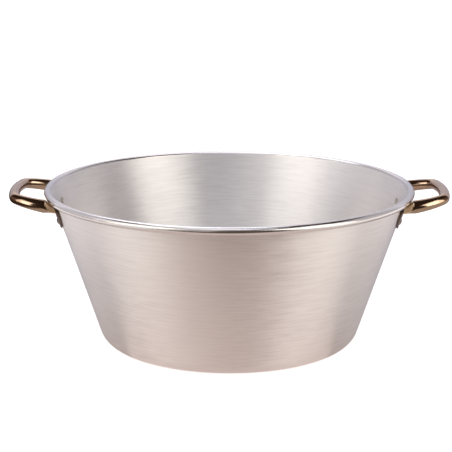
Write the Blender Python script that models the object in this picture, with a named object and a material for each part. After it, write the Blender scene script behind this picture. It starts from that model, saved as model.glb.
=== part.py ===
"""Jam pan: a flared pan spun from one aluminium sheet, with a rolled rim.

Two loop handles stand on curved mounting plates, and four rivets hold each plate to the wall.
Metres, +Z up. The origin is the middle of the flat base, and the handles lie along X.
Each handle set is modelled at +X, and the one at -X is the same set turned half a turn.
"""

import math

import bmesh
import bpy
from mathutils import Matrix, Vector

# Pan shell
RIM_DIAMETER = 0.3685
PAN_HEIGHT = 0.1582
WALL_FLARE = math.radians(18.4)
SHEET = 0.0015
BASE_CORNER_RADIUS = 0.0186
BEAD_RADIUS = 0.0038
CURL_SLIT = 0.0004

# Room between pieces that touch on the real pan
SEAT_GAP = 0.0003

# Mounting plates, bent to the wall
PLATE_THICKNESS = 0.0018
PLATE_WIDTH = 0.106
PLATE_DEPTH = 0.0290
PLATE_BELOW_BEAD = 0.0011
PLATE_LOWER_CORNER = 0.0220
PLATE_UPPER_CORNER = 0.0030

# Rivets, two rows of two on each plate
RIVET_SHANK = 0.0040
RIVET_HOLE_CLEARANCE = 0.0003
RIVET_HEAD = 0.0062
RIVET_HEAD_HEIGHT = 0.0014
RIVET_TAIL = 0.0058
RIVET_TAIL_HEIGHT = 0.0011
RIVET_EDGE = 0.0004
RIVET_SPREAD = 0.0405
RIVET_FIRST_ROW = 0.0129
RIVET_ROW_STEP = 0.0118

# Handle loops, as seen from above in their own tilted plane
HANDLE_REACH = 0.0294
HANDLE_TILT = math.radians(10.2)
HANDLE_DROP = 0.0133
GRIP_HALF_LENGTH = 0.0315
GRIP_BOW_RADIUS = 0.159
CORNER_RADIUS = 0.0125
CORNER_TURN = math.radians(44.3)
ARM_BOW_RADIUS = 0.0437

# Handle section, an oval that leans inward and thickens towards the wall
GRIP_LONG = 0.0109
GRIP_SHORT = 0.0103
ROOT_LONG = 0.0144
ROOT_SHORT = 0.0122
SECTION_LEAN = math.radians(45.0)

# Pressed ends of the handles, which slope down under the rim
RIM_CLEARANCE = 0.0004
RAMP_ANGLE = math.radians(42.0)
TONGUE_WIDTH = 0.0118
TONGUE_RISE = 0.0035
TONGUE_LEAST = 0.0025
TONGUE_SQUARENESS = 4.0

# Facets
SHARP_ANGLE = math.radians(35)
ROUND_STEPS = 96
CORNER_STEPS = 5
CURL_STEPS = 10
PLATE_STEPS = 7
PLATE_CORNER_STEPS = 5
SECTION_STEPS = 20
GRIP_STEPS = 4
BEND_STEPS = 6
ARM_STEPS = 9
TONGUE_STEPS = 4
RIVET_STEPS = 12
RIVET_DOME_STEPS = 3
CUTTER_MARGIN = 0.003

# Places that follow from the sizes above
RIM_RADIUS = RIM_DIAMETER / 2
BEAD_R = RIM_RADIUS - BEAD_RADIUS
BEAD_Z = PAN_HEIGHT - BEAD_RADIUS
NORMAL_R = math.cos(WALL_FLARE)
NORMAL_Z = -math.sin(WALL_FLARE)
PLATE_TOP_Z = BEAD_Z - BEAD_RADIUS - PLATE_BELOW_BEAD
PLATE_FACE = SEAT_GAP + PLATE_THICKNESS
HANDLE_SEAT = PLATE_FACE + SEAT_GAP


def wall_radius(height, outward=0.0):
    """Radius at a height of the wall's outer face, or of a face that far outside it."""
    start_r = BEAD_R - (BEAD_RADIUS - SHEET - outward) * NORMAL_R
    start_z = BEAD_Z - (BEAD_RADIUS - SHEET - outward) * NORMAL_Z
    return start_r + (height - start_z) * math.tan(WALL_FLARE)


def wall_point(azimuth, height, outward=0.0):
    """Point outside the wall, square to it from where it has that height."""
    radius = wall_radius(height) + outward * NORMAL_R
    return Vector((radius * math.cos(azimuth), radius * math.sin(azimuth), height + outward * NORMAL_Z))


def clear_scene():
    for item in list(bpy.data.objects):
        bpy.data.objects.remove(item)


def metal(name, colour, roughness):
    material = bpy.data.materials.new(name)
    material.use_nodes = True
    shader = material.node_tree.nodes["Principled BSDF"]
    shader.inputs["Base Color"].default_value = (*colour, 1.0)
    shader.inputs["Roughness"].default_value = roughness
    shader.inputs["Metallic"].default_value = 1.0
    return material


def finished_mesh(name, bm):
    bmesh.ops.recalc_face_normals(bm, faces=bm.faces)
    mesh = bpy.data.meshes.new(name)
    bm.to_mesh(mesh)
    bm.free()
    mesh.shade_smooth()
    mesh.set_sharp_from_angle(angle=SHARP_ANGLE)
    return mesh


def add_object(name, mesh, material=None, parent=None):
    item = bpy.data.objects.new(name, mesh)
    bpy.context.scene.collection.objects.link(item)
    if material is not None and not mesh.materials:
        mesh.materials.append(material)
    item.parent = parent
    return item


def arc(centre, radius, start, end, steps):
    """Points (r, z) on an arc, both ends included."""
    angles = [start + (end - start) * i / steps for i in range(steps + 1)]
    return [(centre[0] + radius * math.cos(a), centre[1] + radius * math.sin(a)) for a in angles]


def pan_profile():
    """Half section of the spun sheet, from the axis under the base round to the axis inside it."""
    corner_z = BASE_CORNER_RADIUS
    tangent_z = corner_z + BASE_CORNER_RADIUS * NORMAL_Z
    corner_r = wall_radius(tangent_z) - BASE_CORNER_RADIUS * NORMAL_R
    corner = (corner_r, corner_z)
    bead = (BEAD_R, BEAD_Z)
    wall_side = math.pi - WALL_FLARE
    curl_end = wall_side - math.tau + math.acos(1 - (SHEET + CURL_SLIT) / BEAD_RADIUS)
    points = [(0.0, 0.0)]
    points += arc(corner, BASE_CORNER_RADIUS, -math.pi / 2, -WALL_FLARE, CORNER_STEPS)
    points += arc(bead, BEAD_RADIUS - SHEET, wall_side, curl_end, CURL_STEPS)
    points += arc(bead, BEAD_RADIUS, curl_end, wall_side, CURL_STEPS)
    points += arc(corner, BASE_CORNER_RADIUS - SHEET, -WALL_FLARE, -math.pi / 2, CORNER_STEPS)
    points.append((0.0, SHEET))
    return points


def turned_mesh(name, profile, steps):
    """Closed solid of revolution about Z from a profile whose two ends lie on the axis."""
    bm = bmesh.new()
    rings = []
    for radius, height in profile:
        if radius == 0.0:
            rings.append([bm.verts.new((0.0, 0.0, height))] * steps)
            continue
        turns = [math.tau * i / steps for i in range(steps)]
        rings.append([bm.verts.new((radius * math.cos(a), radius * math.sin(a), height)) for a in turns])
    for low, high in zip(rings, rings[1:]):
        for i in range(steps):
            j = (i + 1) % steps
            corners = [low[i], low[j], high[j], high[i]]
            bm.faces.new(list(dict.fromkeys(corners)))
    return finished_mesh(name, bm)


def plate_columns():
    """Places across a plate, from one side edge to the other, closer together round its corners."""
    half = PLATE_WIDTH / 2
    places = [(half - PLATE_LOWER_CORNER) * i / PLATE_STEPS for i in range(PLATE_STEPS)]
    for radius in (PLATE_LOWER_CORNER, PLATE_UPPER_CORNER):
        for i in range(PLATE_CORNER_STEPS + 1):
            turn = math.pi / 2 * i / PLATE_CORNER_STEPS
            places.append(half - radius * (1 - math.sin(turn)))
    places = sorted({round(place, 7) for place in places})
    return [-place for place in places[:0:-1]] + places


def plate_span(across):
    """How far down a plate's upper and lower edges lie at a place across it."""
    rounding = []
    for radius in (PLATE_UPPER_CORNER, PLATE_LOWER_CORNER):
        into = max(abs(across) - (PLATE_WIDTH / 2 - radius), 0.0)
        rounding.append(radius - math.sqrt(max(radius**2 - into**2, 0.0)))
    return rounding[0], PLATE_DEPTH - rounding[1]


def plate_point(across, down, outward):
    """Place of a plate point on the wall. Across is measured round the plate's own mid height."""
    mid_radius = wall_radius(PLATE_TOP_Z - PLATE_DEPTH / 2 * NORMAL_R)
    height = PLATE_TOP_Z - down * math.cos(WALL_FLARE)
    return wall_point(math.asin(across / mid_radius), height, outward)


def plate_mesh():
    """Plate bent to the wall, built as columns between its upper and lower edges."""
    bm = bmesh.new()
    columns = []
    for across in plate_columns():
        top, bottom = plate_span(across)
        rows = [top, (top + bottom) / 2, bottom]
        inner = [bm.verts.new(plate_point(across, down, SEAT_GAP)) for down in rows]
        outer = [bm.verts.new(plate_point(across, down, PLATE_FACE)) for down in rows]
        columns.append(inner + outer[::-1])
    for left, right in zip(columns, columns[1:]):
        for i in range(len(left)):
            j = (i + 1) % len(left)
            bm.faces.new((left[i], right[i], right[j], left[j]))
    for end in (columns[0], columns[-1]):
        count = len(end)
        for i in range(count // 2 - 1):
            bm.faces.new((end[i], end[i + 1], end[count - 2 - i], end[count - 1 - i]))
    return finished_mesh("mounting_plate", bm)


def rivet_places():
    """Azimuth and height of each of one plate's rivets, on the wall's outer face."""
    places = {}
    for row, word in enumerate(("upper", "lower")):
        down = RIVET_FIRST_ROW + row * RIVET_ROW_STEP
        height = PLATE_TOP_Z - down * math.cos(WALL_FLARE)
        turn = math.asin(RIVET_SPREAD / 2 / wall_radius(height))
        places[word + "_a"] = (-turn, height)
        places[word + "_b"] = (turn, height)
    return places


def wall_frame(azimuth, height):
    """Frame on the wall's outer face with Z square to the wall, pointing out."""
    outward = Vector((NORMAL_R * math.cos(azimuth), NORMAL_R * math.sin(azimuth), NORMAL_Z))
    turn = outward.to_track_quat("Z", "Y").to_matrix().to_4x4()
    return Matrix.Translation(wall_point(azimuth, height)) @ turn


def dome(radius, height, seat, outward):
    """Profile of a rivet's domed end, from its edge at the seat to its top on the axis."""
    rise = height - RIVET_EDGE
    steps = RIVET_DOME_STEPS
    turns = [math.pi / 2 * i / steps for i in range(steps)]
    points = [(radius, seat)]
    points += [(radius * math.cos(a), seat + outward * (RIVET_EDGE + rise * math.sin(a))) for a in turns]
    points.append((0.0, seat + outward * height))
    return points


def rivet_mesh():
    """Rivet with a domed head over the plate and a flatter domed tail inside the pan."""
    head_seat = PLATE_FACE + SEAT_GAP
    tail_seat = -SHEET - SEAT_GAP
    shank = RIVET_SHANK / 2
    tail = dome(RIVET_TAIL / 2, RIVET_TAIL_HEIGHT, tail_seat, -1)
    head = dome(RIVET_HEAD / 2, RIVET_HEAD_HEIGHT, head_seat, 1)
    profile = tail[::-1] + [(shank, tail_seat), (shank, head_seat)] + head
    return turned_mesh("rivet", profile, RIVET_STEPS)


def hole_cutters(parent, name):
    """Rods through the plate and the wall at the rivets. They only cut, and aren't a piece."""
    bm = bmesh.new()
    length = SHEET + PLATE_FACE + 2 * CUTTER_MARGIN
    middle = (PLATE_FACE - SHEET) / 2
    radius = RIVET_SHANK / 2 + RIVET_HOLE_CLEARANCE
    for azimuth, height in rivet_places().values():
        place = wall_frame(azimuth, height) @ Matrix.Translation((0.0, 0.0, middle))
        bmesh.ops.create_cone(
            bm,
            cap_ends=True,
            segments=RIVET_STEPS,
            radius1=radius,
            radius2=radius,
            depth=length,
            matrix=place,
        )
    cutter = add_object(name, finished_mesh(name, bm), parent=parent)
    cutter.hide_render = True
    cutter.display_type = "WIRE"
    return cutter


def cut_holes(item, cutter):
    cut = item.modifiers.new("rivet_holes", "BOOLEAN")
    cut.operation = "DIFFERENCE"
    cut.solver = "EXACT"
    cut.object = cutter


def loop_half_path():
    """Places (inward, across, heading) of the handle's centreline from mid grip to its root.

    Inward is measured from mid grip towards the pan, and the heading turns from across to inward.
    """
    grip_turn = GRIP_HALF_LENGTH / GRIP_BOW_RADIUS
    bends = (
        (GRIP_BOW_RADIUS, grip_turn, GRIP_STEPS),
        (CORNER_RADIUS, CORNER_TURN, BEND_STEPS),
        (ARM_BOW_RADIUS, math.pi / 2 - grip_turn - CORNER_TURN, ARM_STEPS),
    )
    inward, across, heading = 0.0, 0.0, 0.0
    path = [(inward, across, heading)]
    for radius, turn, steps in bends:
        for i in range(1, steps + 1):
            angle = heading + turn * i / steps
            along = inward + radius * (math.cos(heading) - math.cos(angle))
            aside = across + radius * (math.sin(angle) - math.sin(heading))
            path.append((along, aside, angle))
        inward, across, heading = path[-1]
    return path


def loop_section(thickening, flattening):
    """Section of the loop as (towards the loop's middle, up) points."""
    long_half = (GRIP_LONG + (ROOT_LONG - GRIP_LONG) * thickening) / 2
    short_half = (GRIP_SHORT + (ROOT_SHORT - GRIP_SHORT) * thickening) / 2
    lean_sin, lean_cos = math.sin(SECTION_LEAN), math.cos(SECTION_LEAN)
    half_height = math.hypot(long_half * lean_cos, short_half * lean_sin)
    power = 2 / TONGUE_SQUARENESS
    points = []
    for i in range(SECTION_STEPS):
        turn = math.tau * i / SECTION_STEPS
        side, rise = math.cos(turn), math.sin(turn)
        oval_q = long_half * rise * lean_sin + short_half * side * lean_cos
        oval_w = long_half * rise * lean_cos - short_half * side * lean_sin
        flat_q = TONGUE_WIDTH / 2 * math.copysign(abs(side) ** power, side)
        flat_w = half_height * math.copysign(abs(rise) ** power, rise)
        q = oval_q + (flat_q - oval_q) * flattening
        w = oval_w + (flat_w - oval_w) * flattening
        points.append((q, w))
    return points, half_height


def slide_to_seat(point, direction):
    """Moves a point along a direction to the face that the handle's ends sit against."""
    slope = math.tan(WALL_FLARE)
    start = wall_radius(point.z, HANDLE_SEAT)
    a = direction.x**2 + direction.y**2 - (slope * direction.z) ** 2
    b = point.x * direction.x + point.y * direction.y - start * slope * direction.z
    c = point.x**2 + point.y**2 - start**2
    distance = (-b - math.sqrt(b * b - a * c)) / a
    return point + direction * distance


def room_under_rim(point, up, rim_x):
    """Height above a point, measured along up, below the rim and the slope that clears it at rim_x."""
    reach = BEAD_RADIUS + RIM_CLEARANCE
    slope = math.tan(RAMP_ANGLE)
    limit = BEAD_Z + (point.x - rim_x) * slope - reach / math.cos(RAMP_ANGLE)
    below_slope = (limit - point.z) / (up.z - slope * up.x)
    radius = math.hypot(point.x, point.y)
    drift = (point.x * up.x + point.y * up.y) / radius
    a = drift**2 + up.z**2
    b = (radius - BEAD_R) * drift + (point.z - BEAD_Z) * up.z
    c = (radius - BEAD_R) ** 2 + (point.z - BEAD_Z) ** 2 - reach**2
    if b * b <= a * c:
        return below_slope
    return min(below_slope, (-b - math.sqrt(b * b - a * c)) / a)


def loop_mesh():
    """Handle loop at +X, swept from one pressed end to the other."""
    up = Vector((-math.sin(HANDLE_TILT), 0.0, math.cos(HANDLE_TILT)))
    out = Vector((math.cos(HANDLE_TILT), 0.0, math.sin(HANDLE_TILT)))
    grip_x = RIM_RADIUS + HANDLE_REACH
    path = loop_half_path()
    root_inward, root_across, _ = path[-1]
    seat_radius = wall_radius(PAN_HEIGHT - HANDLE_DROP, HANDLE_SEAT)
    seat_x = math.sqrt(seat_radius**2 - root_across**2)
    grip_z = PAN_HEIGHT - HANDLE_DROP + (grip_x - seat_x) * math.tan(HANDLE_TILT)
    grip = Vector((grip_x, 0.0, grip_z))
    rim_x = math.sqrt(BEAD_R**2 - root_across**2)
    _, root_half_height = loop_section(1.0, 0.0)
    arm_start = path[GRIP_STEPS + BEND_STEPS][0]
    seat_inward = (grip_x - seat_x) / math.cos(HANDLE_TILT)

    def ring(inward, across, heading, side, to_seat):
        """One section. To_seat is the share of the way from the root to the plate, or None."""
        centre = grip - out * inward + Vector((0.0, side * across, 0.0))
        middle_way = -out * math.cos(heading) - Vector((0.0, side * math.sin(heading), 0.0))
        reached = inward if to_seat is None else inward + (seat_inward - inward) * to_seat
        thickening = min(max((reached - arm_start) / (seat_inward - arm_start), 0.0), 1.0)
        floor = centre - out * (reached - inward) - up * root_half_height
        freedom = min(max(room_under_rim(floor, up, rim_x) / (2 * root_half_height), 0.0), 1.0)
        section, half_height = loop_section(thickening, 1.0 - freedom)
        places = []
        for q, w in section:
            point = centre + middle_way * q + up * w
            if to_seat is not None:
                point = point + (slide_to_seat(point, -out) - point) * to_seat
            bottom = point - up * (w + half_height)
            room = room_under_rim(bottom, up, rim_x)
            share = min(max(room, TONGUE_LEAST) / (2 * half_height), 1.0)
            rise = TONGUE_RISE * (1.0 - share)
            place = bottom + up * (rise + (w + half_height) * (share - rise / (2 * half_height)))
            if to_seat == 1.0:
                place = slide_to_seat(place, -out)
            places.append(place)
        return places

    half_rings = {}
    for side in (-1, 1):
        rings = [ring(*step, side, None) for step in path]
        for i in range(1, TONGUE_STEPS + 1):
            rings.append(ring(*path[-1], side, i / TONGUE_STEPS))
        half_rings[side] = rings
    rings = half_rings[-1][:0:-1] + half_rings[1]

    bm = bmesh.new()
    rows = [[bm.verts.new(p) for p in places] for places in rings]
    for near, far in zip(rows, rows[1:]):
        for i in range(SECTION_STEPS):
            j = (i + 1) % SECTION_STEPS
            bm.faces.new((near[i], near[j], far[j], far[i]))
    bm.faces.new(rows[0])
    bm.faces.new(rows[-1])
    return finished_mesh("handle_loop", bm)


def build():
    clear_scene()
    aluminium = metal("spun_aluminium", (0.74, 0.71, 0.69), 0.34)
    handle_metal = metal("polished_handle", (0.70, 0.60, 0.48), 0.10)
    rivet_metal = metal("rivet_metal", (0.66, 0.62, 0.56), 0.25)
    pan = add_object("pan_body", turned_mesh("pan_body", pan_profile(), ROUND_STEPS), aluminium)
    loop = loop_mesh()
    plate = plate_mesh()
    rivet = rivet_mesh()
    for side, turn in (("right", 0.0), ("left", math.pi)):
        holder = bpy.data.objects.new(side + "_handle_place", None)
        bpy.context.scene.collection.objects.link(holder)
        holder.rotation_euler = (0.0, 0.0, turn)
        cutter = hole_cutters(holder, side + "_hole_cutter")
        cut_holes(pan, cutter)
        cut_holes(add_object("mounting_plate_" + side, plate, handle_metal, holder), cutter)
        add_object("handle_" + side, loop, handle_metal, holder)
        for word, place in rivet_places().items():
            piece = add_object(f"rivet_{side}_{word}", rivet, rivet_metal, holder)
            piece.matrix_local = wall_frame(*place)


build()
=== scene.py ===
"""Looks of the jam pan: brushed spun aluminium, polished warm steel handles, plates and rivets.

Metres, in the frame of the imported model. The handles lie along X and the camera looks along +Y.
"""

import math

import bmesh
import bpy
from mathutils import Matrix, Vector, noise


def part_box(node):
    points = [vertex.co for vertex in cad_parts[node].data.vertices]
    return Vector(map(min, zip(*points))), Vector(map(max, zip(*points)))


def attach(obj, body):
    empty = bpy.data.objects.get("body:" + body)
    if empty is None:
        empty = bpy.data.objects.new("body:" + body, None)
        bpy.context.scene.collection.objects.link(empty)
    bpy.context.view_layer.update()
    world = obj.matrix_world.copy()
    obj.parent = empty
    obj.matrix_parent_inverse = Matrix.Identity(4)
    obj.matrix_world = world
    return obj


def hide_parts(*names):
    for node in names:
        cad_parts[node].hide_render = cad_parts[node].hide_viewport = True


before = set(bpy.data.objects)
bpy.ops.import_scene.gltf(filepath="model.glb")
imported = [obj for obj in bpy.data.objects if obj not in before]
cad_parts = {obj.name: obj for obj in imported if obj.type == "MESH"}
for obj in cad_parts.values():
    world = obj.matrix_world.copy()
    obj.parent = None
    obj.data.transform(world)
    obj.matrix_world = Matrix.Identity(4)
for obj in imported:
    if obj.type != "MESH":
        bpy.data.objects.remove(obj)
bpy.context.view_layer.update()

# Camera, at the photo's place
PHOTO_SIDE = 452
FOCAL_PIXELS = 1500
SENSOR = 36.0
CAMERA_DISTANCE = 1.5371
CAMERA_ELEVATION = math.radians(13.627)
CAMERA_RISE = 0.11248
CAMERA_SIDE = -0.0033
CAMERA_ROLL = 0.002
VIEW_END = 50.0

# Pan shell
_, PAN_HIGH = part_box("pan_body")
PAN_HEIGHT = PAN_HIGH.z
RIM_RADIUS = PAN_HIGH.x
WALL_FLARE = math.radians(18.4)
SHEET = 0.0015
BASE_CORNER_RADIUS = 0.0186
BEAD_RADIUS = 0.0038
CURL_SLIT = 0.0004

# Ripple of the spun wall: its depth, then each layer's ripples per metre and its own row of noise
SPIN_WAVE = 0.00002
SPIN_LAYERS = ((260.0, 0.3), (90.0, 4.1))

# Room between pieces that touch
SEAT_GAP = 0.0003

# Mounting plates
PLATE_THICKNESS = 0.0018
PLATE_WIDTH = 0.106
PLATE_DEPTH = 0.0290
PLATE_BELOW_BEAD = 0.0011
PLATE_LOWER_CORNER = 0.0220
PLATE_UPPER_CORNER = 0.0030
PLATE_EDGE_ROUND = 0.0004

# Rivets
RIVET_HEAD = 0.0062
RIVET_HEAD_HEIGHT = 0.0014
RIVET_TAIL = 0.0058
RIVET_TAIL_HEIGHT = 0.0011
RIVET_EDGE = 0.0004
RIVET_SHANK = 0.0040
RIVET_SPREAD = 0.0405
RIVET_FIRST_ROW = 0.0129
RIVET_ROW_STEP = 0.0118

# Handle loops
HANDLE_REACH = 0.0294
HANDLE_TILT = math.radians(10.2)
HANDLE_DROP = 0.0133
GRIP_HALF_LENGTH = 0.0315
GRIP_BOW_RADIUS = 0.159
CORNER_RADIUS = 0.0125
CORNER_TURN = math.radians(44.3)
ARM_BOW_RADIUS = 0.0437
GRIP_LONG = 0.0109
GRIP_SHORT = 0.0103
ROOT_LONG = 0.0144
ROOT_SHORT = 0.0122
SECTION_LEAN = math.radians(45.0)
RIM_CLEARANCE = 0.0004
RAMP_ANGLE = math.radians(42.0)
TONGUE_WIDTH = 0.0118
TONGUE_LEAST = 0.0025
TONGUE_RISE = 0.0035
TONGUE_SQUARENESS = 4.0
PRESS_SOFTNESS = 0.0006
PRESSED_LEAST = 0.0008

# Steps that divide curves and faces
PAN_SEGMENTS = 360
BASE_STEPS = 14
BASE_CORNER_STEPS = 16
WALL_STEPS = 60
INNER_CURL_STEPS = 30
OUTER_CURL_STEPS = 48
LIP_STEPS = 8
PLATE_MIDDLE_STEPS = 20
PLATE_LOWER_CORNER_STEPS = 20
PLATE_UPPER_CORNER_STEPS = 8
PLATE_ROWS = 8
PLATE_EDGE_STEPS = 3
RIVET_SEGMENTS = 48
DOME_STEPS = 12
GRIP_STEPS = 16
CORNER_STEPS = 20
ARM_STEPS = 40
SEAT_STEPS = 12
SECTION_STEPS = 56

# Places on a plate that agree to this many decimals of a metre count as one
PLATE_PLACE_DIGITS = 5

# Edges that turn by more than this stay sharp, or are rounded off on the plates
SHARP_ANGLE = math.radians(50)

# Places that follow from the sizes above
BEAD_R = RIM_RADIUS - BEAD_RADIUS
BEAD_Z = PAN_HEIGHT - BEAD_RADIUS
NORMAL_R = math.cos(WALL_FLARE)
NORMAL_Z = -math.sin(WALL_FLARE)
PLATE_TOP_Z = BEAD_Z - BEAD_RADIUS - PLATE_BELOW_BEAD
PLATE_FACE = SEAT_GAP + PLATE_THICKNESS
HANDLE_SEAT = PLATE_FACE + SEAT_GAP


# Camera

def make_camera():
    """Camera at the photo's angle and distance, aimed a little above the pan's middle."""
    sine, cosine = math.sin(CAMERA_ELEVATION), math.cos(CAMERA_ELEVATION)
    right = Vector((1.0, 0.0, 0.0))
    up = Vector((0.0, sine, cosine))
    back = Vector((0.0, -cosine, sine))
    data = bpy.data.cameras.new("camera")
    data.sensor_width = SENSOR
    data.lens = FOCAL_PIXELS / PHOTO_SIDE * SENSOR
    data.clip_end = VIEW_END
    camera = bpy.data.objects.new("camera", data)
    bpy.context.scene.collection.objects.link(camera)
    turn = Matrix((right, up, back)).transposed().to_4x4() @ Matrix.Rotation(CAMERA_ROLL, 4, "Z")
    place = back * CAMERA_DISTANCE + up * CAMERA_RISE + right * CAMERA_SIDE
    camera.matrix_world = Matrix.Translation(place) @ turn
    bpy.context.scene.camera = camera


# Meshes

def wall_radius(height, outward=0.0):
    """Radius at a height of the wall's outer face, or of a face that far outside it."""
    inward = BEAD_RADIUS - SHEET - outward
    start_r = BEAD_R - inward * NORMAL_R
    start_z = BEAD_Z - inward * NORMAL_Z
    return start_r + (height - start_z) * math.tan(WALL_FLARE)


def wall_point(azimuth, height, outward=0.0):
    """Point outside the wall, square to it from where it has that height."""
    radius = wall_radius(height) + outward * NORMAL_R
    x, y = radius * math.cos(azimuth), radius * math.sin(azimuth)
    return Vector((x, y, height + outward * NORMAL_Z))


def wall_frame(azimuth, height):
    """Frame on the wall's outer face with Z square to the wall, pointing out."""
    outward = Vector((NORMAL_R * math.cos(azimuth), NORMAL_R * math.sin(azimuth), NORMAL_Z))
    turn = outward.to_track_quat("Z", "Y").to_matrix().to_4x4()
    return Matrix.Translation(wall_point(azimuth, height)) @ turn


def finished_mesh(name, bm):
    """Smooth-shaded mesh with its sharp edges kept."""
    bmesh.ops.recalc_face_normals(bm, faces=bm.faces)
    mesh = bpy.data.meshes.new(name)
    bm.to_mesh(mesh)
    bm.free()
    mesh.shade_smooth()
    mesh.set_sharp_from_angle(angle=SHARP_ANGLE)
    return mesh


def arc(centre, radius, start, end, steps):
    """Points (r, z) on an arc, both ends included."""
    angles = [start + (end - start) * i / steps for i in range(steps + 1)]
    return [(centre[0] + radius * math.cos(a), centre[1] + radius * math.sin(a)) for a in angles]


def run(start, end, steps):
    """Points (r, z) between two points on a straight line, both ends left out."""
    return [
        (start[0] + (end[0] - start[0]) * i / steps, start[1] + (end[1] - start[1]) * i / steps)
        for i in range(1, steps)
    ]


def pan_profile():
    """The sheet's half section as (r, z, on_bead), from under the base to the axis inside."""
    corner_z = BASE_CORNER_RADIUS
    tangent_z = corner_z + BASE_CORNER_RADIUS * NORMAL_Z
    corner = (wall_radius(tangent_z) - BASE_CORNER_RADIUS * NORMAL_R, corner_z)
    bead = (BEAD_R, BEAD_Z)
    wall_side = math.pi - WALL_FLARE
    curl_end = wall_side - math.tau + math.acos(1 - (SHEET + CURL_SLIT) / BEAD_RADIUS)
    middle = BEAD_RADIUS - SHEET / 2
    lip = (bead[0] + middle * math.cos(curl_end), bead[1] + middle * math.sin(curl_end))
    outer_corner = arc(corner, BASE_CORNER_RADIUS, -math.pi / 2, -WALL_FLARE, BASE_CORNER_STEPS)
    inner_curl = arc(bead, BEAD_RADIUS - SHEET, wall_side, curl_end, INNER_CURL_STEPS)
    lip_round = arc(lip, SHEET / 2, curl_end - math.pi, curl_end - math.tau, LIP_STEPS)[1:-1]
    outer_curl = arc(bead, BEAD_RADIUS, curl_end, wall_side, OUTER_CURL_STEPS)
    inner_radius = BASE_CORNER_RADIUS - SHEET
    inner_corner = arc(corner, inner_radius, -WALL_FLARE, -math.pi / 2, BASE_CORNER_STEPS)

    outside = [(0.0, 0.0)] + run((0.0, 0.0), outer_corner[0], BASE_STEPS) + outer_corner
    outside += run(outer_corner[-1], inner_curl[0], WALL_STEPS)
    rolled = inner_curl + lip_round + outer_curl
    inside = run(outer_curl[-1], inner_corner[0], WALL_STEPS) + inner_corner
    inside += run(inner_corner[-1], (0.0, SHEET), BASE_STEPS) + [(0.0, SHEET)]
    stretches = ((outside, False), (rolled, True), (inside, False))
    return [(*point, on_bead) for points, on_bead in stretches for point in points]


def spin_ripple(height):
    """How far the spinning tool left the wall in or out at a height: the same on both faces."""
    layers = [noise.noise(Vector((height * count, row, 0.0))) for count, row in SPIN_LAYERS]
    return SPIN_WAVE * sum(layers)


def turned_mesh(name, profile, steps, bead_index=0):
    """Closed solid of revolution about Z. Its points on the bead get their own material."""
    bm = bmesh.new()
    turns = [math.tau * i / steps for i in range(steps)]
    rings = []
    for radius, height, _ in profile:
        if radius == 0.0:
            rings.append([bm.verts.new((0.0, 0.0, height))] * steps)
            continue
        places = [(radius * math.cos(a), radius * math.sin(a), height) for a in turns]
        rings.append([bm.verts.new(place) for place in places])
    for k, (low, high) in enumerate(zip(rings, rings[1:])):
        on_bead = profile[k][2] and profile[k + 1][2]
        for i in range(steps):
            j = (i + 1) % steps
            corners = [low[i], low[j], high[j], high[i]]
            face = bm.faces.new(list(dict.fromkeys(corners)))
            if on_bead:
                face.material_index = bead_index
    return finished_mesh(name, bm)


def pan_mesh():
    """The spun pan, with the tool's ripple in its wall."""
    profile = []
    for radius, height, on_bead in pan_profile():
        on_wall = not on_bead and height > BASE_CORNER_RADIUS
        shift = spin_ripple(height) if on_wall else 0.0
        profile.append((radius + shift * NORMAL_R, height, on_bead))
    return turned_mesh("spun_pan", profile, PAN_SEGMENTS, 1)


def plate_columns():
    """Places across a plate, from one side edge to the other, closer together round its corners."""
    half = PLATE_WIDTH / 2
    middle = half - PLATE_LOWER_CORNER
    places = [middle * i / PLATE_MIDDLE_STEPS for i in range(PLATE_MIDDLE_STEPS)]
    corners = (
        (PLATE_LOWER_CORNER, PLATE_LOWER_CORNER_STEPS),
        (PLATE_UPPER_CORNER, PLATE_UPPER_CORNER_STEPS),
    )
    for radius, steps in corners:
        for i in range(steps + 1):
            places.append(half - radius * (1 - math.sin(math.pi / 2 * i / steps)))
    places = sorted({round(place, PLATE_PLACE_DIGITS) for place in places})
    return [-place for place in places[:0:-1]] + places


def plate_span(across):
    """How far down a plate's upper and lower edges lie at a place across it."""
    rounding = []
    for radius in (PLATE_UPPER_CORNER, PLATE_LOWER_CORNER):
        into = max(abs(across) - (PLATE_WIDTH / 2 - radius), 0.0)
        rounding.append(radius - math.sqrt(max(radius**2 - into**2, 0.0)))
    return rounding[0], PLATE_DEPTH - rounding[1]


def plate_point(across, down, outward):
    """Place of a plate point on the wall. Across is measured round the plate's own mid height."""
    mid_radius = wall_radius(PLATE_TOP_Z - PLATE_DEPTH / 2 * NORMAL_R)
    height = PLATE_TOP_Z - down * math.cos(WALL_FLARE)
    return wall_point(math.asin(across / mid_radius), height, outward)


def plate_mesh():
    """Plate bent to the wall, built as columns between its upper and lower edges."""
    bm = bmesh.new()
    columns = []
    for across in plate_columns():
        top, bottom = plate_span(across)
        rows = [top + (bottom - top) * i / PLATE_ROWS for i in range(PLATE_ROWS + 1)]
        inner = [bm.verts.new(plate_point(across, down, SEAT_GAP)) for down in rows]
        outer = [bm.verts.new(plate_point(across, down, PLATE_FACE)) for down in rows]
        columns.append(inner + outer[::-1])
    for left, right in zip(columns, columns[1:]):
        for i in range(len(left)):
            j = (i + 1) % len(left)
            bm.faces.new((left[i], right[i], right[j], left[j]))
    for end in (columns[0], columns[-1]):
        count = len(end)
        for i in range(count // 2 - 1):
            bm.faces.new((end[i], end[i + 1], end[count - 2 - i], end[count - 1 - i]))
    return finished_mesh("bent_plate", bm)


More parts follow.
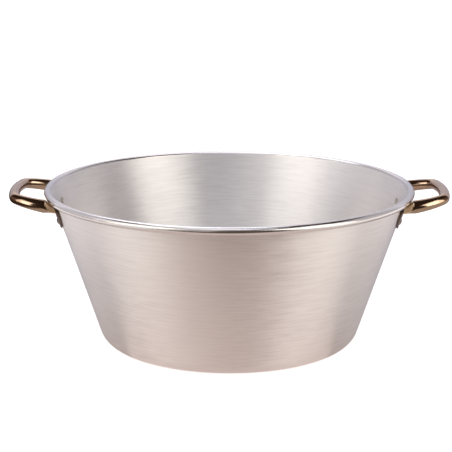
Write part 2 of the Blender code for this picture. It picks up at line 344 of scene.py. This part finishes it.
def dome(radius, height, seat, outward):
    """Profile of a rivet's domed end, from its edge at the seat to its top on the axis."""
    rise = height - RIVET_EDGE
    points = [(radius, seat, False)]
    for i in range(DOME_STEPS):
        angle = math.pi / 2 * i / DOME_STEPS
        above_seat = RIVET_EDGE + rise * math.sin(angle)
        points.append((radius * math.cos(angle), seat + outward * above_seat, False))
    points.append((0.0, seat + outward * height, False))
    return points


def rivet_mesh():
    """Rivet with a domed head over the plate and a flatter domed tail inside the pan."""
    head_seat = PLATE_FACE + SEAT_GAP
    tail_seat = -SHEET - SEAT_GAP
    shank = RIVET_SHANK / 2
    tail = dome(RIVET_TAIL / 2, RIVET_TAIL_HEIGHT, tail_seat, -1)
    head = dome(RIVET_HEAD / 2, RIVET_HEAD_HEIGHT, head_seat, 1)
    profile = tail[::-1] + [(shank, tail_seat, False), (shank, head_seat, False)] + head
    return turned_mesh("domed_rivet", profile, RIVET_SEGMENTS)


def rivet_places():
    """Azimuth and height of each of one plate's rivets, on the wall's outer face."""
    places = {}
    for row, word in enumerate(("upper", "lower")):
        height = PLATE_TOP_Z - (RIVET_FIRST_ROW + row * RIVET_ROW_STEP) * math.cos(WALL_FLARE)
        turn = math.asin(RIVET_SPREAD / 2 / wall_radius(height))
        places[word + "_a"] = (-turn, height)
        places[word + "_b"] = (turn, height)
    return places


def loop_half_path():
    """Places (inward, across, heading) of the handle's centreline from mid grip to its root."""
    grip_turn = GRIP_HALF_LENGTH / GRIP_BOW_RADIUS
    bends = (
        (GRIP_BOW_RADIUS, grip_turn, GRIP_STEPS),
        (CORNER_RADIUS, CORNER_TURN, CORNER_STEPS),
        (ARM_BOW_RADIUS, math.pi / 2 - grip_turn - CORNER_TURN, ARM_STEPS),
    )
    inward, across, heading = 0.0, 0.0, 0.0
    path = [(inward, across, heading)]
    for radius, turn, steps in bends:
        for i in range(1, steps + 1):
            angle = heading + turn * i / steps
            along = inward + radius * (math.cos(heading) - math.cos(angle))
            aside = across + radius * (math.sin(angle) - math.sin(heading))
            path.append((along, aside, angle))
        inward, across, heading = path[-1]
    return path


def loop_section(thickening, flattening):
    """Section of the loop as (towards the loop's middle, up) points, and its half height."""
    long_half = (GRIP_LONG + (ROOT_LONG - GRIP_LONG) * thickening) / 2
    short_half = (GRIP_SHORT + (ROOT_SHORT - GRIP_SHORT) * thickening) / 2
    lean_sin, lean_cos = math.sin(SECTION_LEAN), math.cos(SECTION_LEAN)
    half_height = math.hypot(long_half * lean_cos, short_half * lean_sin)
    power = 2 / TONGUE_SQUARENESS
    points = []
    for i in range(SECTION_STEPS):
        turn = math.tau * i / SECTION_STEPS
        side, rise = math.cos(turn), math.sin(turn)
        oval_q = long_half * rise * lean_sin + short_half * side * lean_cos
        oval_w = long_half * rise * lean_cos - short_half * side * lean_sin
        flat_q = TONGUE_WIDTH / 2 * math.copysign(abs(side) ** power, side)
        flat_w = half_height * math.copysign(abs(rise) ** power, rise)
        q = oval_q + (flat_q - oval_q) * flattening
        w = oval_w + (flat_w - oval_w) * flattening
        points.append((q, w))
    return points, half_height


def slide_to_seat(point, direction):
    """Moves a point along a direction to the face that the handle's ends sit against."""
    slope = math.tan(WALL_FLARE)
    start = wall_radius(point.z, HANDLE_SEAT)
    a = direction.x**2 + direction.y**2 - (slope * direction.z) ** 2
    b = point.x * direction.x + point.y * direction.y - start * slope * direction.z
    c = point.x**2 + point.y**2 - start**2
    distance = (-b - math.sqrt(b * b - a * c)) / a
    return point + direction * distance


def room_under_rim(point, up, rim_x):
    """Room above a point, along up, to the rim or to the slope that clears the rim at rim_x."""
    reach = BEAD_RADIUS + RIM_CLEARANCE
    slope = math.tan(RAMP_ANGLE)
    limit = BEAD_Z + (point.x - rim_x) * slope - reach / math.cos(RAMP_ANGLE)
    below_slope = (limit - point.z) / (up.z - slope * up.x)
    radius = math.hypot(point.x, point.y)
    drift = (point.x * up.x + point.y * up.y) / radius
    a = drift**2 + up.z**2
    b = (radius - BEAD_R) * drift + (point.z - BEAD_Z) * up.z
    c = (radius - BEAD_R) ** 2 + (point.z - BEAD_Z) ** 2 - reach**2
    if b * b <= a * c:
        return below_slope
    return min(below_slope, (-b - math.sqrt(b * b - a * c)) / a)


def soft_least(a, b, softness):
    """The smaller of two lengths, with the change from one to the other rounded off."""
    overlap = max(softness - abs(a - b), 0.0) / softness
    return min(a, b) - overlap**2 * softness / 4


def loop_mesh():
    """Handle loop at +X, swept from one pressed end to the other."""
    up = Vector((-math.sin(HANDLE_TILT), 0.0, math.cos(HANDLE_TILT)))
    out = Vector((math.cos(HANDLE_TILT), 0.0, math.sin(HANDLE_TILT)))
    grip_x = RIM_RADIUS + HANDLE_REACH
    path = loop_half_path()
    root_across = path[-1][1]
    seat_radius = wall_radius(PAN_HEIGHT - HANDLE_DROP, HANDLE_SEAT)
    seat_x = math.sqrt(seat_radius**2 - root_across**2)
    grip_z = PAN_HEIGHT - HANDLE_DROP + (grip_x - seat_x) * math.tan(HANDLE_TILT)
    grip = Vector((grip_x, 0.0, grip_z))
    rim_x = math.sqrt(BEAD_R**2 - root_across**2)
    _, root_half_height = loop_section(1.0, 0.0)
    arm_start = path[GRIP_STEPS + CORNER_STEPS][0]
    seat_inward = (grip_x - seat_x) / math.cos(HANDLE_TILT)

    def ring(inward, across, heading, side, to_seat):
        """One section. To_seat is the share of the way from the root to the plate, or None."""
        centre = grip - out * inward + Vector((0.0, side * across, 0.0))
        middle_way = -out * math.cos(heading) - Vector((0.0, side * math.sin(heading), 0.0))
        reached = inward if to_seat is None else inward + (seat_inward - inward) * to_seat
        thickening = min(max((reached - arm_start) / (seat_inward - arm_start), 0.0), 1.0)
        floor = centre - out * (reached - inward) - up * root_half_height
        freedom = min(max(room_under_rim(floor, up, rim_x) / (2 * root_half_height), 0.0), 1.0)
        section, half_height = loop_section(thickening, 1.0 - freedom)
        places, pressed = [], []
        for q, w in section:
            point = centre + middle_way * q + up * w
            if to_seat is not None:
                point = point + (slide_to_seat(point, -out) - point) * to_seat
            bottom = point - up * (w + half_height)
            room = max(room_under_rim(bottom, up, rim_x), TONGUE_LEAST)
            share = soft_least(room, 2 * half_height, PRESS_SOFTNESS) / (2 * half_height)
            rise = TONGUE_RISE * (1.0 - share)
            place = bottom + up * (rise + (w + half_height) * (share - rise / (2 * half_height)))
            if to_seat == 1.0:
                place = slide_to_seat(place, -out)
            places.append(place)
            pressed.append((w + half_height) * (1.0 - share) > PRESSED_LEAST)
        return places, pressed

    half_rings = {}
    for side in (-1, 1):
        rings = [ring(*step, side, None) for step in path]
        for i in range(1, SEAT_STEPS + 1):
            rings.append(ring(*path[-1], side, i / SEAT_STEPS))
        half_rings[side] = rings
    rings = half_rings[-1][:0:-1] + half_rings[1]

    bm = bmesh.new()
    rows = [[bm.verts.new(p) for p in places] for places, _ in rings]
    for k, (near, far) in enumerate(zip(rows, rows[1:])):
        near_pressed, far_pressed = rings[k][1], rings[k + 1][1]
        for i in range(len(near)):
            j = (i + 1) % len(near)
            face = bm.faces.new((near[i], near[j], far[j], far[i]))
            # Pressed faces take the second material: rougher, with a lighter tone that is painted
            # sheen
            if near_pressed[i] and near_pressed[j] and far_pressed[i] and far_pressed[j]:
                face.material_index = 1
    bm.faces.new(rows[0])
    bm.faces.new(rows[-1])
    return finished_mesh("handle_loop", bm)


# Materials

# Darkest and lightest tone, and least and greatest roughness, of each metal
WALL_TONES = ((0.84, 0.81, 0.79), (0.94, 0.915, 0.90))
WALL_ROUGHNESS = (0.38, 0.46)
CLOUDED_TONE = (0.91, 0.90, 0.90)
WORN_TONE = (0.66, 0.63, 0.61)
RIM_TONES = ((0.67, 0.64, 0.625), (0.78, 0.75, 0.735))
RIM_ROUGHNESS = (0.17, 0.23)
LOOP_TONES = ((0.51, 0.36, 0.245), (0.59, 0.43, 0.305))
LOOP_ROUGHNESS = (0.10, 0.17)
# The pressed ends are rougher than the polished loop, which is real. Their tone is lighter and more
# golden: painted sheen for the light that their facets catch.
PRESSED_TONES_AND_PAINTED_SHEEN = ((0.92, 0.68, 0.44), (0.98, 0.77, 0.53))
PRESSED_ROUGHNESS = (0.44, 0.56)
# The plates' tone is far darker than any steel: painted shade for the shadow where they sit under
# the rim and the handles' ends.
PLATE_PAINTED_SHADE_TONES = ((0.13, 0.10, 0.08), (0.21, 0.17, 0.14))
PLATE_ROUGHNESS = (0.16, 0.28)
RIVET_TONES = ((0.60, 0.55, 0.48), (0.74, 0.70, 0.63))
RIVET_ROUGHNESS = (0.20, 0.34)

# Lines and streaks of the aluminium: their variety round the axis, and how many to a metre of
# height and radius together
FINE_LINES = (5.0, 2600.0)
COARSE_LINES = (3.0, 700.0)
STREAKS = (6.0, 420.0)
RIM_LINES = (8.0, 1500.0)
LEAST_TURNED_RADIUS = 0.002
LINE_DEPTH = 0.00003
WALL_BUMP = 0.35
RIM_BUMP = 0.2

# Clouded patches to a metre, and how strongly the patches and the worn streaks show
PATCHES = 9.0
PATCH_ROUGHNESS = 0.015
CLOUDED_MOST = 0.25
WORN_MOST = 0.45
WORN_BETWEEN_PATCHES = 0.25

# How far glints stretch across the lines, and how far the streaks tilt them
WALL_ANISOTROPY = 0.89
RIM_ANISOTROPY = 0.4
QUARTER_TURN = 0.25
STREAK_LEAN = 0.13

# Polishing scratches of the steel, per metre. The stretch lays them along the handle's grip.
LOOP_SCRATCHES = 420.0
PLATE_SCRATCHES = 600.0
RIVET_SCRATCHES = 900.0
SCRATCH_STRETCH = (1.0, 0.12, 1.0)
SCRATCHES_PER_CLOUD = 18
SCRATCH_DEPTH = 0.00004
STEEL_BUMP = 0.12

# Detail and roughness of each kind of noise, and the stretches of its range that are used
LINE_GRAIN = (3.0, 0.6)
FINE_GRAIN = (4.0, 0.65)
SOFT_GRAIN = (3.0, 0.5)
WIDE_BAND = (0.3, 0.7)
NARROW_BAND = (0.35, 0.65)
STREAK_BAND = (0.25, 0.75)
WORN_STREAK_BAND = (0.45, 0.75)
WORN_PATCH_BAND = (0.35, 0.6)


def node(tree, kind, **settings):
    """New node, with its sockets and properties set by name."""
    made = tree.nodes.new(kind)
    for key, value in settings.items():
        if key in made.inputs:
            made.inputs[key].default_value = value
        else:
            setattr(made, key, value)
    return made


def link(tree, source, target):
    tree.links.new(source, target)


def math_node(tree, operation, a, b=0.0):
    """Math node whose inputs are numbers or other nodes' outputs."""
    made = tree.nodes.new("ShaderNodeMath")
    made.operation = operation
    for socket, value in zip(made.inputs, (a, b)):
        if isinstance(value, (int, float)):
            socket.default_value = value
        else:
            link(tree, value, socket)
    return made.outputs[0]


def product(tree, a, b):
    return math_node(tree, "MULTIPLY", a, b)


def averaged(tree, a, b):
    return math_node(tree, "ADD", product(tree, a, 0.5), product(tree, b, 0.5))


def mapped(tree, value, low, high, to_low, to_high, smooth=False):
    """Value carried from one range over to another, and held at its ends."""
    made = tree.nodes.new("ShaderNodeMapRange")
    made.interpolation_type = "SMOOTHSTEP" if smooth else "LINEAR"
    link(tree, value, made.inputs["Value"])
    names = ("From Min", "From Max", "To Min", "To Max")
    for name, number in zip(names, (low, high, to_low, to_high)):
        made.inputs[name].default_value = number
    return made.outputs["Result"]


def mixed(tree, factor, a, b):
    """Colour between two colours or colour outputs."""
    made = tree.nodes.new("ShaderNodeMix")
    made.data_type = "RGBA"
    link(tree, factor, made.inputs[0])
    # Sockets 6 and 7, and output 2, are the node's colour ones
    for socket, value in ((made.inputs[6], a), (made.inputs[7], b)):
        if isinstance(value, tuple):
            socket.default_value = (*value, 1.0)
        else:
            link(tree, value, socket)
    return made.outputs[2]


def noise_value(tree, vector, scale, detail, roughness):
    made = node(tree, "ShaderNodeTexNoise", Scale=scale, Detail=detail, Roughness=roughness)
    link(tree, vector, made.inputs["Vector"])
    return made.outputs["Fac"]


def object_place(tree):
    return node(tree, "ShaderNodeTexCoord").outputs["Object"]


def split_vector(tree, vector):
    split = node(tree, "ShaderNodeSeparateXYZ")
    link(tree, vector, split.inputs[0])
    return split.outputs


def turned_vector(tree, around, along):
    """Coordinates that follow a turned surface: slow round the axis, fast along its profile."""
    x, y, z = split_vector(tree, object_place(tree))
    squares = math_node(tree, "ADD", product(tree, x, x), product(tree, y, y))
    radius = math_node(tree, "SQRT", squares)
    safe_radius = math_node(tree, "MAXIMUM", radius, LEAST_TURNED_RADIUS)
    joined = node(tree, "ShaderNodeCombineXYZ")
    link(tree, product(tree, math_node(tree, "DIVIDE", x, safe_radius), around), joined.inputs[0])
    link(tree, product(tree, math_node(tree, "DIVIDE", y, safe_radius), around), joined.inputs[1])
    link(tree, product(tree, math_node(tree, "ADD", z, radius), along), joined.inputs[2])
    return joined.outputs[0]


def turned_noise(tree, lines, grain):
    return noise_value(tree, turned_vector(tree, *lines), 1.0, *grain)


def metal(name):
    """Material, its node tree and its metallic shader."""
    material = bpy.data.materials.new(name)
    material.use_nodes = True
    tree = material.node_tree
    shader = tree.nodes["Principled BSDF"]
    shader.inputs["Metallic"].default_value = 1.0
    return material, tree, shader


def add_bump(tree, shader, height, strength, depth):
    bump = node(tree, "ShaderNodeBump", Strength=strength, Distance=depth)
    link(tree, height, bump.inputs["Height"])
    link(tree, bump.outputs[0], shader.inputs["Normal"])


def stretch_glints(shader, anisotropy):
    """Stretches glints across lines that run round the axis."""
    shader.inputs["Anisotropic"].default_value = anisotropy
    shader.inputs["Anisotropic Rotation"].default_value = QUARTER_TURN


def tangent_round_axis(tree):
    return node(tree, "ShaderNodeTangent", direction_type="RADIAL", axis="Z").outputs[0]


def brushed_aluminium():
    """Satin aluminium with brush lines round the axis, worn streaks and clouded patches."""
    material, tree, shader = metal("brushed_aluminium")
    fine = turned_noise(tree, FINE_LINES, LINE_GRAIN)
    coarse = turned_noise(tree, COARSE_LINES, LINE_GRAIN)
    lines = averaged(tree, fine, coarse)
    streaks = turned_noise(tree, STREAKS, FINE_GRAIN)
    patches = noise_value(tree, object_place(tree), PATCHES, *SOFT_GRAIN)

    tone = mixed(tree, mapped(tree, lines, *NARROW_BAND, 0.0, 1.0), *WALL_TONES)
    clouded = mapped(tree, patches, *WIDE_BAND, 0.0, CLOUDED_MOST)
    tone = mixed(tree, clouded, tone, CLOUDED_TONE)
    in_streak = mapped(tree, streaks, *WORN_STREAK_BAND, 0.0, WORN_MOST)
    in_patch = mapped(tree, patches, *WORN_PATCH_BAND, WORN_BETWEEN_PATCHES, 1.0)
    tone = mixed(tree, product(tree, in_streak, in_patch), tone, WORN_TONE)
    link(tree, tone, shader.inputs["Base Color"])

    line_rough = mapped(tree, lines, *WIDE_BAND, *WALL_ROUGHNESS)
    patch_rough = mapped(tree, patches, *WIDE_BAND, -PATCH_ROUGHNESS, PATCH_ROUGHNESS)
    link(tree, math_node(tree, "ADD", line_rough, patch_rough), shader.inputs["Roughness"])

    stretch_glints(shader, WALL_ANISOTROPY)
    lean = node(tree, "ShaderNodeCombineXYZ")
    link(tree, mapped(tree, streaks, *STREAK_BAND, -STREAK_LEAN, STREAK_LEAN), lean.inputs[2])
    leaned = node(tree, "ShaderNodeVectorMath", operation="ADD")
    link(tree, tangent_round_axis(tree), leaned.inputs[0])
    link(tree, lean.outputs[0], leaned.inputs[1])
    link(tree, leaned.outputs[0], shader.inputs["Tangent"])
    add_bump(tree, shader, lines, WALL_BUMP, LINE_DEPTH)
    return material


def rim_aluminium():
    """The rolled rim, burnished smoother than the wall by the roller."""
    material, tree, shader = metal("rim_aluminium")
    lines = turned_noise(tree, RIM_LINES, LINE_GRAIN)
    link(tree, mixed(tree, lines, *RIM_TONES), shader.inputs["Base Color"])
    link(tree, mapped(tree, lines, *WIDE_BAND, *RIM_ROUGHNESS), shader.inputs["Roughness"])
    stretch_glints(shader, RIM_ANISOTROPY)
    link(tree, tangent_round_axis(tree), shader.inputs["Tangent"])
    add_bump(tree, shader, lines, RIM_BUMP, LINE_DEPTH)
    return material


def polished_steel(name, tones, roughness, scratches_per_metre):
    """Polished steel with faint scratches and clouded patches."""
    material, tree, shader = metal(name)
    place = object_place(tree)
    stretch = node(tree, "ShaderNodeMapping", Scale=SCRATCH_STRETCH)
    link(tree, place, stretch.inputs["Vector"])
    scratches = noise_value(tree, stretch.outputs[0], scratches_per_metre, *FINE_GRAIN)
    clouds_per_metre = scratches_per_metre / SCRATCHES_PER_CLOUD
    clouds = noise_value(tree, place, clouds_per_metre, *SOFT_GRAIN)
    tone = mixed(tree, mapped(tree, clouds, *WIDE_BAND, 0.0, 1.0), *tones)
    rough = mapped(tree, averaged(tree, scratches, clouds), *NARROW_BAND, *roughness)
    link(tree, tone, shader.inputs["Base Color"])
    link(tree, rough, shader.inputs["Roughness"])
    add_bump(tree, shader, scratches, STEEL_BUMP, SCRATCH_DEPTH)
    return material


# Pieces

def add_piece(name, mesh, materials, matrix, node_name):
    """Dresses a CAD node with a mesh, which other pieces may share."""
    piece = bpy.data.objects.new(name, mesh)
    bpy.context.scene.collection.objects.link(piece)
    for material in materials:
        if material.name not in mesh.materials:
            mesh.materials.append(material)
    piece.matrix_world = matrix
    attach(piece, "root")
    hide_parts(node_name)
    return piece


def soften_edges(piece, width):
    """Rounds a piece's hard edges as tumbling leaves them."""
    bevel = piece.modifiers.new("soft_edges", "BEVEL")
    bevel.width = width
    bevel.segments = PLATE_EDGE_STEPS
    bevel.limit_method = "ANGLE"
    bevel.angle_limit = SHARP_ANGLE


def build_pan():
    materials = (brushed_aluminium(), rim_aluminium())
    add_piece("pan", pan_mesh(), materials, Matrix.Identity(4), "pan_body")


def build_handles():
    """Handles with their plates and rivets. The left set is the right one turned half round."""
    steel = polished_steel("polished_steel", LOOP_TONES, LOOP_ROUGHNESS, LOOP_SCRATCHES)
    # The pressed ends' material is rougher, and its lighter tone is painted sheen
    pressed_steel_and_painted_sheen = polished_steel(
        "pressed_steel_and_painted_sheen", PRESSED_TONES_AND_PAINTED_SHEEN, PRESSED_ROUGHNESS, LOOP_SCRATCHES
    )
    # The plates' material has a near-black tone that is painted shade
    plate_steel_painted_shade = polished_steel("plate_steel_painted_shade", PLATE_PAINTED_SHADE_TONES, PLATE_ROUGHNESS, PLATE_SCRATCHES)
    rivet_steel = polished_steel("rivet_steel", RIVET_TONES, RIVET_ROUGHNESS, RIVET_SCRATCHES)
    loop, plate, rivet = loop_mesh(), plate_mesh(), rivet_mesh()
    for side, turn in (("right", 0.0), ("left", math.pi)):
        place = Matrix.Rotation(turn, 4, "Z")
        loop_steels = (steel, pressed_steel_and_painted_sheen)
        add_piece("loop_" + side, loop, loop_steels, place, "handle_" + side)
        node_name, slot = "mounting_plate_" + side, "mounting_plate"
        bracket = add_piece("plate_" + side, plate, (plate_steel_painted_shade,), place, node_name)
        soften_edges(bracket, PLATE_EDGE_ROUND)
        for word, spot in rivet_places().items():
            at = place @ wall_frame(*spot)
            node_name = f"rivet_{side}_{word}"
            add_piece(f"stud_{side}_{word}", rivet, (rivet_steel,), at, node_name)


# Stage and light

# Brightness of the surround: a dim room in front and overhead, lighter far out at each side, and a
# pale backdrop behind, a little darker high up at its two sides
ROOM = (0.035, 0.024, 0.019)
SIDE_WALL = (0.20, 0.14, 0.12)
BACK_LOW = (0.56, 0.55, 0.64)
BACK_HIGH = (1.05, 1.02, 1.10)
BACK_HIGH_SIDES = (0.76, 0.73, 0.78)

# Where one brightness of the surround gives way to the next, as parts of a unit direction
TO_SIDE_WALL = (0.75, 0.97)
TO_BACKDROP = (0.50, 0.75)
TO_BACK_HIGH = (0.20, 0.45)
TO_RIGHT_SIDE = (0.10, 0.26)
FROM_LEFT_SIDE = (-0.50, -0.28)

# What the metal sees of the floor: warm near the pan, paler beside it, dark in front of the set
# and far out on the left, and grey behind
FLOOR_NEAR = (0.50, 0.405, 0.375)
FLOOR_SIDE = (0.54, 0.49, 0.465)
FLOOR_DIM = (0.06, 0.040, 0.030)
FLOOR_BACK = (0.42, 0.38, 0.41)
TO_FLOOR_SIDE = (0.09, 0.24)
TO_FLOOR_DIM = (0.30, 0.46)
TO_FLOOR_BACK = (-0.15, 0.15)
FROM_FAR_LEFT = (-0.36, -0.26)

# How much further from the pan its dark front and grey back begin, for each metre to the side
EDGE_SLANT = 0.5

# The floor itself, with its own glow from near the pan to far away. The sheet that the metal sees
# lies just under it, and the lights that lie on it just over it.
FLOOR_SIZE = 30.0
FLOOR_PAINT = (0.84, 0.83, 0.83, 1.0)
GLOW_NEAR = 0.70
GLOW_FAR = 0.95
GLOW_RANGE = (0.2, 3.0)
SHEET_DROP = 0.0005
PANEL_LIFT = 0.001

# Colours of the lights
WARM_WHITE = (1.0, 0.97, 0.925)
COOL_WHITE = (0.95, 0.97, 1.05)
PALE_WHITE = (0.98, 0.925, 0.935)
SAND_WHITE = (1.0, 0.84, 0.77)
GLINT_WHITE = (1.0, 0.975, 0.99)

# Name, azimuth and elevation in degrees, distance, width, height, brightness and colour. The
# main pair also have a lean, in degrees.
MAIN_BOXES = (
    ("softbox_left", -55.5, 20, 2.0, 1.17, 1.95, 1.29, WARM_WHITE, -12),
    ("softbox_right", 53.5, 20, 2.0, 1.55, 1.95, 1.90, WARM_WHITE, 20),
)
FILL_BOXES = (
    ("fill_wide", -58, 22, 2.02, 2.2, 1.95, 0.40, WARM_WHITE),
    ("fill_top", -28, 77, 1.6, 1.3, 1.0, 1.08, COOL_WHITE),
    ("fill_left", -105, 22, 2.0, 2.0, 1.8, 0.58, COOL_WHITE),
    ("fill_right", 106, 22, 2.0, 1.9, 1.8, 0.46, COOL_WHITE),
    ("fill_back", -152, 64, 0.8, 0.70, 0.45, 1.7, COOL_WHITE),
    ("fill_front_left", -25, 28, 2.0, 1.1, 2.2, 0.40, WARM_WHITE),
    ("fill_front_high", 2, 56, 2.0, 1.5, 1.1, 0.41, COOL_WHITE),
    ("fill_front", 2, 20, 2.0, 1.3, 1.5, 0.09, SAND_WHITE),
)
GLINT_BOXES = (
    ("glint_left", -50, 16, 1.95, 0.80, 1.3, 1.40, GLINT_WHITE),
    ("glint_right", 50, 18, 1.95, 0.95, 1.4, 1.0, GLINT_WHITE),
)

# Name, x, y, width, depth, brightness and colour
FLOOR_PANELS = (
    ("fill_floor_left", -0.78, 0.05, 0.94, 1.3, 0.93, PALE_WHITE),
    ("fill_floor_right", 0.85, 0.0, 0.8, 1.2, 0.92, PALE_WHITE),
    ("fill_floor_front", 0.0, -0.29, 0.9, 0.42, 0.22, SAND_WHITE),
)


def eased(tree, value, start, end, falls=False):
    """Smooth step from 0 to 1 over a range, or from 1 to 0."""
    ends = (1.0, 0.0) if falls else (0.0, 1.0)
    return mapped(tree, value, start, end, *ends, smooth=True)


def end_tree(tree, kind, shader):
    """New output node, fed by a shader."""
    out = node(tree, kind)
    link(tree, shader, out.inputs[0])


def flat_sheet(name, side, height):
    """Level square sheet, and the empty node tree of its own material."""
    bm = bmesh.new()
    bmesh.ops.create_grid(bm, x_segments=1, y_segments=1, size=side / 2)
    mesh = bpy.data.meshes.new(name)
    bm.to_mesh(mesh)
    bm.free()
    sheet = bpy.data.objects.new(name, mesh)
    bpy.context.scene.collection.objects.link(sheet)
    sheet.location.z = height
    material = bpy.data.materials.new(name)
    material.use_nodes = True
    material.node_tree.nodes.clear()
    mesh.materials.append(material)
    return sheet, material.node_tree


def build_floor():
    """Pale floor with a soft glow. Reflections see the other sheet in its place."""
    floor, tree = flat_sheet("floor", FLOOR_SIZE, 0.0)
    floor.visible_glossy = False
    diffuse = node(tree, "ShaderNodeBsdfDiffuse", Color=FLOOR_PAINT)
    distance = node(tree, "ShaderNodeVectorMath", operation="LENGTH")
    link(tree, object_place(tree), distance.inputs[0])
    glow = node(tree, "ShaderNodeEmission", Color=(1.0, 1.0, 1.0, 1.0))
    strength = mapped(tree, distance.outputs["Value"], *GLOW_RANGE, GLOW_NEAR, GLOW_FAR, True)
    link(tree, strength, glow.inputs["Strength"])
    total = node(tree, "ShaderNodeAddShader")
    link(tree, diffuse.outputs[0], total.inputs[0])
    link(tree, glow.outputs[0], total.inputs[1])
    end_tree(tree, "ShaderNodeOutputMaterial", total.outputs[0])


def build_floor_in_metal():
    """Sheet that reflections see in place of the floor, as bright as each side of the set."""
    sheet, tree = flat_sheet("floor_in_metal", FLOOR_SIZE, -SHEET_DROP)
    sheet.visible_camera = False
    sheet.visible_diffuse = False
    sheet.visible_shadow = False
    x, y, _ = split_vector(tree, object_place(tree))
    across = math_node(tree, "ABSOLUTE", x)
    aside = product(tree, across, EDGE_SLANT)
    ahead = math_node(tree, "SUBTRACT", product(tree, y, -1.0), aside)
    behind = eased(tree, math_node(tree, "SUBTRACT", y, aside), *TO_FLOOR_BACK)
    beside = eased(tree, across, *TO_FLOOR_SIDE)
    colour = mixed(tree, behind, mixed(tree, beside, FLOOR_NEAR, FLOOR_SIDE), FLOOR_BACK)
    colour = mixed(tree, eased(tree, x, *FROM_FAR_LEFT, falls=True), colour, FLOOR_DIM)
    colour = mixed(tree, eased(tree, ahead, *TO_FLOOR_DIM), colour, FLOOR_DIM)
    glow = node(tree, "ShaderNodeEmission", Strength=1.0)
    link(tree, colour, glow.inputs["Color"])
    end_tree(tree, "ShaderNodeOutputMaterial", glow.outputs[0])


def build_world():
    """Dim room with a pale backdrop behind the pan. The camera itself sees plain white."""
    world = bpy.data.worlds.new("studio")
    bpy.context.scene.world = world
    world.use_nodes = True
    tree = world.node_tree
    tree.nodes.clear()
    direction = node(tree, "ShaderNodeTexCoord").outputs["Generated"]
    x, y, z = split_vector(tree, direction)
    side = eased(tree, math_node(tree, "ABSOLUTE", x), *TO_SIDE_WALL)
    to_right = eased(tree, x, *TO_RIGHT_SIDE)
    to_left = eased(tree, x, *FROM_LEFT_SIDE, falls=True)
    aside = math_node(tree, "ADD", to_right, to_left)
    high = mixed(tree, aside, BACK_HIGH, BACK_HIGH_SIDES)
    back = mixed(tree, eased(tree, z, *TO_BACK_HIGH), BACK_LOW, high)
    room = mixed(tree, side, ROOM, SIDE_WALL)
    colour = mixed(tree, eased(tree, y, *TO_BACKDROP), room, back)
    path = node(tree, "ShaderNodeLightPath")
    seen = mixed(tree, path.outputs["Is Camera Ray"], colour, (1.0, 1.0, 1.0))
    background = node(tree, "ShaderNodeBackground", Strength=1.0)
    link(tree, seen, background.inputs["Color"])
    end_tree(tree, "ShaderNodeOutputWorld", background.outputs[0])


def direction_from(azimuth, elevation):
    """Unit vector at an azimuth in degrees, from the front towards +X, and an elevation."""
    turn, rise = math.radians(azimuth), math.radians(elevation)
    x, y = math.sin(turn) * math.cos(rise), -math.cos(turn) * math.cos(rise)
    return Vector((x, y, math.sin(rise)))


def area_light(name, width, height, brightness, colour):
    """Light whose brightness is on the picture's own scale, where 1 is white."""
    data = bpy.data.lights.new(name, "AREA")
    data.shape = "RECTANGLE"
    data.size = width
    data.size_y = height
    data.energy = brightness * math.pi * width * height
    data.color = colour
    lamp = bpy.data.objects.new(name, data)
    bpy.context.scene.collection.objects.link(lamp)
    lamp.visible_camera = False
    return lamp


def softbox(name, azimuth, elevation, distance, width, height, brightness, colour, lean=0.0):
    """Light that faces the pan's middle, turned about its own axis by the lean."""
    lamp = area_light(name, width, height, brightness, colour)
    away = direction_from(azimuth, elevation)
    facing = away.to_track_quat("Z", "Y").to_matrix().to_4x4()
    turn = facing @ Matrix.Rotation(math.radians(lean), 4, "Z")
    middle = Vector((0.0, 0.0, PAN_HEIGHT / 2))
    lamp.matrix_world = Matrix.Translation(middle + away * distance) @ turn
    return lamp


def floor_panel(name, x, y, width, depth, brightness, colour):
    """Light that lies on the floor and faces up."""
    lamp = area_light(name, width, depth, brightness, colour)
    face_up = Matrix.Rotation(math.pi, 4, "X")
    lamp.matrix_world = Matrix.Translation((x, y, PANEL_LIFT)) @ face_up
    return lamp


def shared_by(lamps, name, piece_names):
    """Limits lamps to a group of pieces."""
    group = bpy.data.collections.new(name)
    for piece_name in piece_names:
        group.objects.link(bpy.data.objects[piece_name])
    for lamp in lamps:
        lamp.light_linking.receiver_collection = group


def build_lights():
    """Main boxes for all, fills for the pan and the floor, and glints for the loops.

    The loops get no fill, so they stay dark between two sharp glints.
    """
    for box in MAIN_BOXES:
        softbox(*box)
    fills = [softbox(*box) for box in FILL_BOXES]
    fills += [floor_panel(*panel) for panel in FLOOR_PANELS]
    glints = [softbox(*box) for box in GLINT_BOXES]
    shared_by(fills, "pan_and_floor", ("pan", "floor"))
    shared_by(glints, "handles", ("loop_left", "loop_right"))


bpy.context.scene.view_settings.view_transform = "Standard"
make_camera()
build_pan()
build_handles()
build_floor()
build_floor_in_metal()
build_world()
build_lights()
